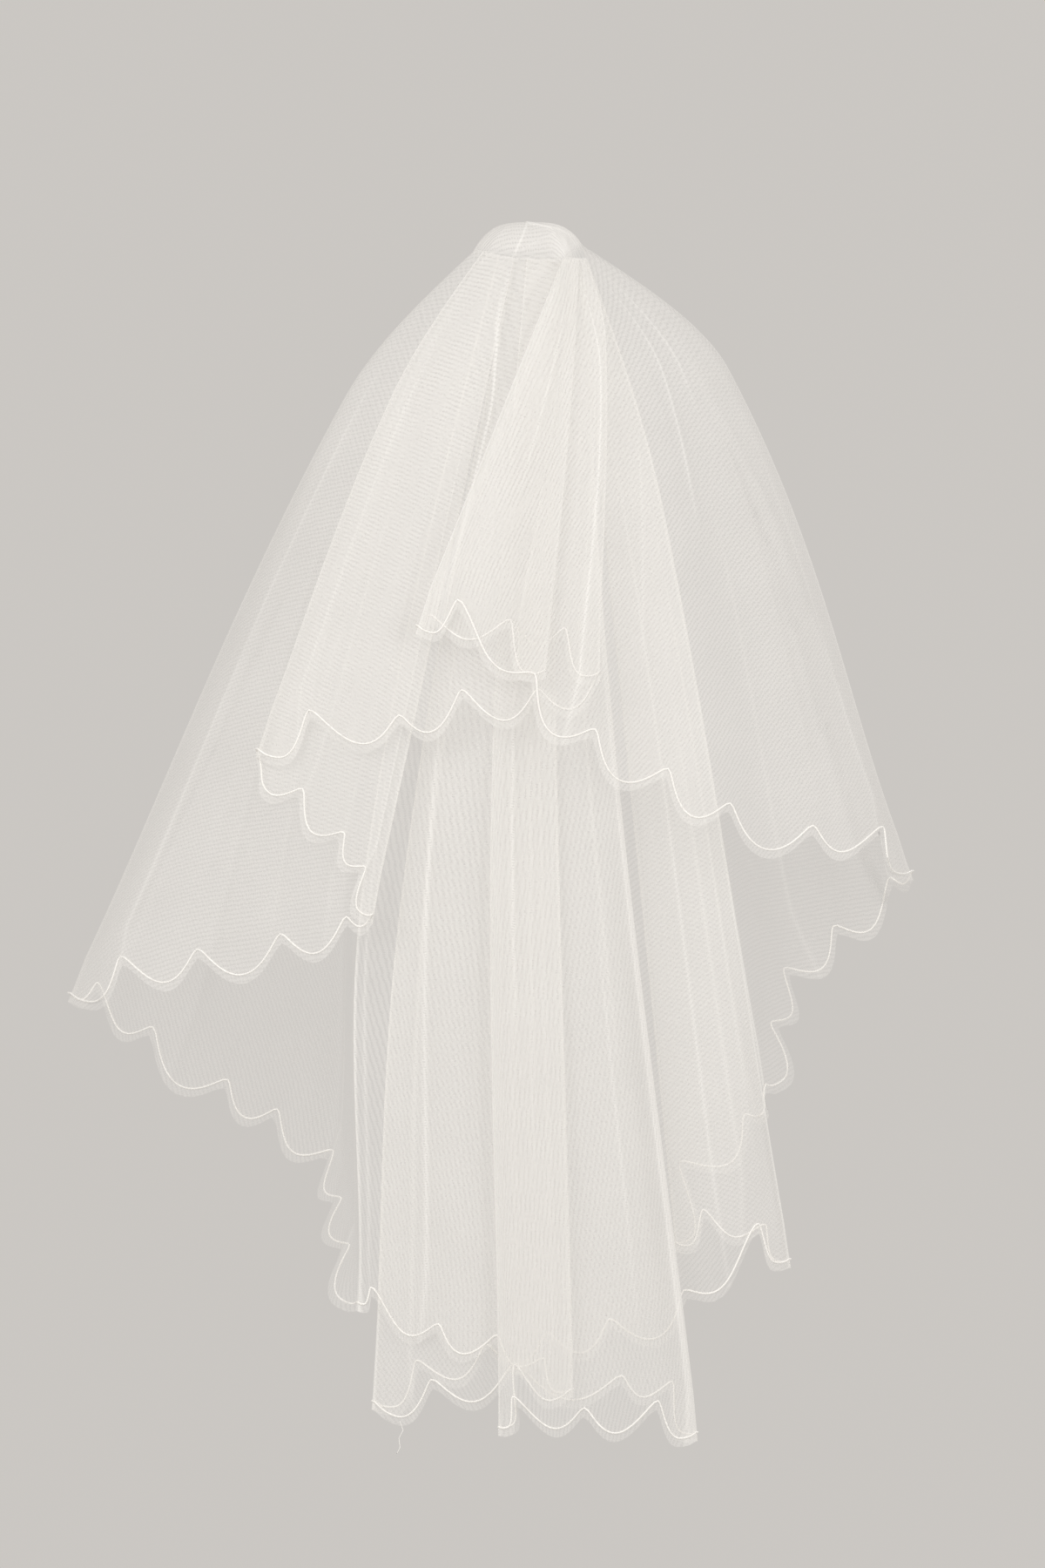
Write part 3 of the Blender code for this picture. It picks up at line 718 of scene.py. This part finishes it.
def crown_points():
    """Points of the net over the top of the head, ring after ring from below the rim to the top."""
    rim = crown_rim()
    count = len(rim)
    top = placed(CROWN_TOP.x, CROWN_TOP.z, CROWN_TOP.y)
    points, flat, dense = [], [], []
    for ring in range(CROWN_RINGS):
        inward = (ring / (CROWN_RINGS - 1)) ** CROWN_RING_CROWDING
        size = mix(CROWN_SKIRT, CROWN_TOP_RING, inward)
        for k in range(CROWN_ROUND):
            at = k * count / CROWN_ROUND
            i = int(at)
            corner = rim[i].lerp(rim[(i + 1) % count], at - i)
            across = mix(CROWN_TOP.x, corner.x, size)
            depth = mix(CROWN_TOP.y, corner.y, size)
            drop = mix(CROWN_TOP.z, corner.z, size ** CROWN_SQUARENESS)
            at_back = smooth_step(-depth, 0.0, 1.0)
            line = max(
                c.line * math.exp(-((away_from_line(across, drop, c) / CROWN_PINCHED) ** 2))
                for c in CROWN_CREASES
            ) * at_back
            point = placed(across, drop, depth)
            outward = (point - placed(CROWN_TOP.x, 2.0, CROWN_TOP.y)).normalized()
            points.append(point + outward * CM * (CROWN_LIFT + CROWN_CREASE_HEIGHT * line))
            away = (point - top).length
            angle = 2 * math.pi * k / CROWN_ROUND
            flat.append((away * math.cos(angle), away * math.sin(angle)))
            layers = mix(CROWN_LAYERS, 2 * CROWN_LAYERS, smooth_step(across, 0.5, 3.5)) * at_back
            above_skirt = smooth_step(CROWN_SKIRT - size, 0.0, 0.1)
            dense.append(mix(SKIRT_END, max(line, layers), above_skirt))
    return points, flat, dense


def ring_faces(count, rings, start):
    faces = []
    for j in range(rings - 1):
        for i in range(count):
            a = start + j * count + i
            b = start + j * count + (i + 1) % count
            faces.append((a, b, b + count, a + count))
    return faces


def new_object(name, vertices, faces):
    mesh = bpy.data.meshes.new(name)
    mesh.from_pydata(vertices, [], faces)
    obj = bpy.data.objects.new(name, mesh)
    bpy.context.scene.collection.objects.link(obj)
    return obj


def make_net():
    count, points, flat, dense = fall_points()
    faces = ring_faces(count, ROWS + BAND_ROWS + 1, 0)
    crown, crown_flat, crown_dense = crown_points()
    start = len(points)
    faces += ring_faces(CROWN_ROUND, CROWN_RINGS, start)
    last_ring = start + (CROWN_RINGS - 1) * CROWN_ROUND
    faces.append(tuple(last_ring + i for i in range(CROWN_ROUND)))
    points += crown
    flat += crown_flat
    dense += crown_dense
    net = new_object("net", points, faces)
    mesh = net.data
    mesh.shade_smooth()
    layer = mesh.uv_layers.new(name="flat")
    corners = np.empty(len(mesh.loops), dtype=np.int32)
    mesh.loops.foreach_get("vertex_index", corners)
    layer.uv.foreach_set("vector", np.array(flat, dtype=np.float32)[corners].ravel())
    density = mesh.attributes.new("dense", "FLOAT", "POINT")
    density.data.foreach_set("value", np.array(dense, dtype=np.float32))
    return net


def tube(points, radius, sides, closed):
    """Vertices and faces of a round tube along the points."""
    vertices, faces = [], []
    count = len(points)
    across = Vector((0.3, 1, 0.1))
    for i, point in enumerate(points):
        if closed:
            along = points[(i + 1) % count] - points[i - 1]
        else:
            along = points[min(i + 1, count - 1)] - points[max(i - 1, 0)]
        across = (across - across.project(along)).normalized()
        other = along.cross(across).normalized()
        for k in range(sides):
            angle = 2 * math.pi * k / sides
            vertices.append(point + radius * (math.cos(angle) * across + math.sin(angle) * other))
    for i in range(count if closed else count - 1):
        for k in range(sides):
            a, b = i * sides + k, i * sides + (k + 1) % sides
            c, d = (i + 1) % count * sides + (k + 1) % sides, (i + 1) % count * sides + k
            faces.append((a, b, c, d))
    if not closed:
        faces.append(tuple(range(sides))[::-1])
        faces.append(tuple((count - 1) * sides + k for k in range(sides)))
    return vertices, faces


def make_cord():
    """The corded line that is stitched along the scallops, and the thread that hangs loose."""
    line = []
    for sheet in SHEETS.values():
        for k in range(sheet.last * CORD_STEPS):
            place = k / CORD_STEPS
            extra = sheet.hem_reach(place, 0.0)
            length = sheet.flat_length(place) + math.hypot(*extra)
            lift = sheet.ridge(place, 1.0, sheet.station(place)[1])[0]
            lift += crinkle(*sheet.flat_place(place, length), length)
            lift *= smooth_step(sheet.from_fold(place), 0.0, CALM_BESIDE_FOLD)
            line.append(sheet.point(place, 1.0, extra, lift + CORD_RADIUS * CORD_RAISED))
    vertices, faces = tube(line, CORD_RADIUS * CM, CORD_SIDES, True)
    layer = STRETCHES["panel_back"].layer
    bends = [placed(*seen, depth_at(*seen, layer, 0)) for seen in LOOSE_THREAD]
    steps = range(THREAD_STEPS)
    loose = [a.lerp(b, k / THREAD_STEPS) for a, b in zip(bends, bends[1:]) for k in steps]
    more, more_faces = tube(loose, CORD_RADIUS * CM * THREAD_THINNER, THREAD_SIDES, False)
    faces += [tuple(len(vertices) + v for v in face) for face in more_faces]
    vertices += more
    cord = new_object("corded_edge", vertices, faces)
    cord.data.shade_smooth()
    return cord


class Nodes:
    """Short calls for a material's nodes."""

    def __init__(self, material):
        material.use_nodes = True
        self.tree = material.node_tree
        self.shader = self.tree.nodes["Principled BSDF"]

    def add(self, kind, **settings):
        node = self.tree.nodes.new(kind)
        for name, value in settings.items():
            setattr(node, name, value)
        return node

    def feed(self, socket, value):
        if isinstance(value, bpy.types.NodeSocket):
            self.tree.links.new(value, socket)
        elif value is not None:
            socket.default_value = value

    def math(self, operation, *values):
        node = self.add("ShaderNodeMath", operation=operation)
        for socket, value in zip(node.inputs, values):
            self.feed(socket, value)
        return node.outputs[0]

    def vector(self, operation, *values):
        node = self.add("ShaderNodeVectorMath", operation=operation)
        for socket, value in zip(node.inputs, values):
            self.feed(socket, value)
        scalar = operation in ("DOT_PRODUCT", "LENGTH", "DISTANCE")
        return node.outputs["Value" if scalar else "Vector"]

    def ramp(self, value, low, high, to_low, to_high):
        node = self.add("ShaderNodeMapRange", interpolation_type="SMOOTHSTEP")
        for socket, number in zip(node.inputs, (value, low, high, to_low, to_high)):
            self.feed(socket, number)
        return node.outputs[0]

    def noise(self, vector, scale, detail):
        node = self.add("ShaderNodeTexNoise")
        self.feed(node.inputs["Vector"], vector)
        node.inputs["Scale"].default_value = scale
        node.inputs["Detail"].default_value = detail
        return node.outputs["Fac"]

    def tint(self, share, colours):
        """Gives the shader a mix of two colours."""
        node = self.add("ShaderNodeMix", data_type="RGBA")
        self.feed(node.inputs["Factor"], share)
        self.feed(node.inputs[6], colours[0])
        self.feed(node.inputs[7], colours[1])
        self.feed(self.shader.inputs["Base Color"], node.outputs[2])


def hexagon_edge(nodes, place):
    """How far a place is from the nearest thread of a hexagonal net, in cells."""
    half = (0.5, math.sqrt(3) / 2, 1.0)
    less = tuple(-x for x in half)
    a = nodes.vector("WRAP", place, half, less)
    b = nodes.vector("WRAP", nodes.vector("SUBTRACT", place, half), half, less)
    from_a, from_b = nodes.vector("DOT_PRODUCT", a, a), nodes.vector("DOT_PRODUCT", b, b)
    nearer = nodes.math("LESS_THAN", from_a, from_b)
    pick = nodes.add("ShaderNodeMix", data_type="VECTOR")
    nodes.feed(pick.inputs["Factor"], nearer)
    nodes.feed(pick.inputs[4], b)
    nodes.feed(pick.inputs[5], a)
    found = nodes.vector("ABSOLUTE", pick.outputs[1])
    slanted = nodes.vector("DOT_PRODUCT", found, (0.5, math.sqrt(3) / 2, 0.0))
    flat = nodes.vector("DOT_PRODUCT", found, (1.0, 0.0, 0.0))
    return nodes.math("SUBTRACT", 0.5, nodes.math("MAXIMUM", slanted, flat))


def net_material():
    material = bpy.data.materials.new("soft_net")
    nodes = Nodes(material)
    flat = nodes.add("ShaderNodeUVMap", uv_map="flat").outputs["UV"]
    on_cloth = nodes.vector("MULTIPLY", flat, (1.0, 1.0, 0.0))
    wander = nodes.add("ShaderNodeTexNoise", noise_dimensions="2D")
    nodes.feed(wander.inputs["Vector"], on_cloth)
    wander.inputs["Scale"].default_value = WANDER_SCALE
    centred = nodes.vector("SUBTRACT", wander.outputs["Color"], (0.5, 0.5, 0.5))
    moved = nodes.vector("MULTIPLY_ADD", centred, (WANDER, WANDER, 0.0), on_cloth)
    place = nodes.vector("SCALE", moved)
    place.node.inputs["Scale"].default_value = 1 / CELL
    edge = hexagon_edge(nodes, place)
    dense = nodes.add("ShaderNodeAttribute", attribute_name="dense").outputs["Fac"]
    cloudy = nodes.noise(on_cloth, 14.0, 3.0)
    cover = nodes.math("MULTIPLY_ADD", cloudy, CLOUDINESS, THREAD_COVER - CLOUDINESS / 2)
    pattern = nodes.ramp(edge, 0.0, THREAD_REACH, AT_THREAD, IN_GAP)
    thread = nodes.math("MULTIPLY", cover, pattern)
    alpha = nodes.math("MULTIPLY_ADD", dense, DENSE_COVER, thread)
    nodes.feed(nodes.shader.inputs["Alpha"], alpha)
    nodes.tint(nodes.noise(on_cloth, 9.0, 4.0), NET_COLOURS)
    nodes.shader.inputs["Roughness"].default_value = 0.8
    nodes.shader.inputs["Sheen Weight"].default_value = 0.25
    nodes.shader.inputs["Sheen Roughness"].default_value = 0.4
    nodes.shader.inputs["Specular IOR Level"].default_value = 0.25
    return material


def cord_material():
    material = bpy.data.materials.new("cord")
    nodes = Nodes(material)
    place = nodes.add("ShaderNodeTexCoord").outputs["Object"]
    twist = nodes.add("ShaderNodeTexWave", wave_type="BANDS", bands_direction="DIAGONAL")
    nodes.feed(twist.inputs["Vector"], place)
    twist.inputs["Scale"].default_value = TWIST_SCALE
    twist.inputs["Distortion"].default_value = 2.0
    nodes.tint(twist.outputs["Fac"], CORD_COLOURS)
    bump = nodes.add("ShaderNodeBump")
    bump.inputs["Distance"].default_value = TWIST_HEIGHT
    nodes.feed(bump.inputs["Height"], twist.outputs["Fac"])
    nodes.feed(nodes.shader.inputs["Normal"], bump.outputs["Normal"])
    nodes.shader.inputs["Roughness"].default_value = 0.6
    nodes.shader.inputs["Sheen Weight"].default_value = 0.3
    return material


def make_stage():
    """A round pale floor at the wearer's feet, and a plain grey all round."""
    turns = [2 * math.pi * k / FLOOR_SIDES for k in range(FLOOR_SIDES)]
    rim = [(FLOOR_RADIUS * math.cos(a), FLOOR_RADIUS * math.sin(a), FLOOR_HEIGHT) for a in turns]
    floor = new_object("floor", rim, [tuple(range(FLOOR_SIDES))])
    material = bpy.data.materials.new("pale_floor")
    nodes = Nodes(material)
    place = nodes.add("ShaderNodeTexCoord").outputs["Object"]
    nodes.tint(nodes.noise(place, 6.0, 5.0), FLOOR_COLOURS)
    nodes.shader.inputs["Roughness"].default_value = 0.7
    floor.data.materials.append(material)
    world = bpy.data.worlds.new("studio")
    world.use_nodes = True
    background = world.node_tree.nodes["Background"]
    background.inputs["Color"].default_value = WALL_COLOUR
    background.inputs["Strength"].default_value = 1.0
    bpy.context.scene.world = world


def make_lights():
    for name, place, size, power in (
        ("key", (-1.8, -2.6, 1.0), 2.0, 54),
        ("fill", (2.2, -2.2, 0.2), 2.0, 34),
        ("back", (0.6, 2.6, 0.8), 2.0, 30),
    ):
        light = bpy.data.lights.new(name, "AREA")
        light.size = size
        light.energy = power
        light.color = LIGHT_COLOUR
        obj = bpy.data.objects.new(name, light)
        obj.location = place
        aim = LIGHTS_AIM - Vector(place)
        obj.rotation_euler = aim.to_track_quat("-Z", "Y").to_euler()
        bpy.context.scene.collection.objects.link(obj)


def make_camera():
    camera = bpy.data.cameras.new("camera")
    camera.sensor_width = SENSOR
    camera.lens = SENSOR * SIGHT / FRAME_HEIGHT
    obj = bpy.data.objects.new("camera", camera)
    obj.location = Vector((SIGHT_ACROSS, -SIGHT, -SIGHT_DROP)) * CM
    obj.rotation_euler = (math.pi / 2, 0, 0)
    bpy.context.scene.collection.objects.link(obj)
    bpy.context.scene.camera = obj


def dress():
    scene = bpy.context.scene
    scene.view_settings.view_transform = "Standard"
    scene.cycles.transparent_max_bounces = 48
    net = make_net()
    net.data.materials.append(net_material())
    cord = make_cord()
    cord.data.materials.append(cord_material())
    for piece in (net, cord):
        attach(piece, "root")
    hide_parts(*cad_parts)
    make_stage()
    make_lights()
    make_camera()


dress()
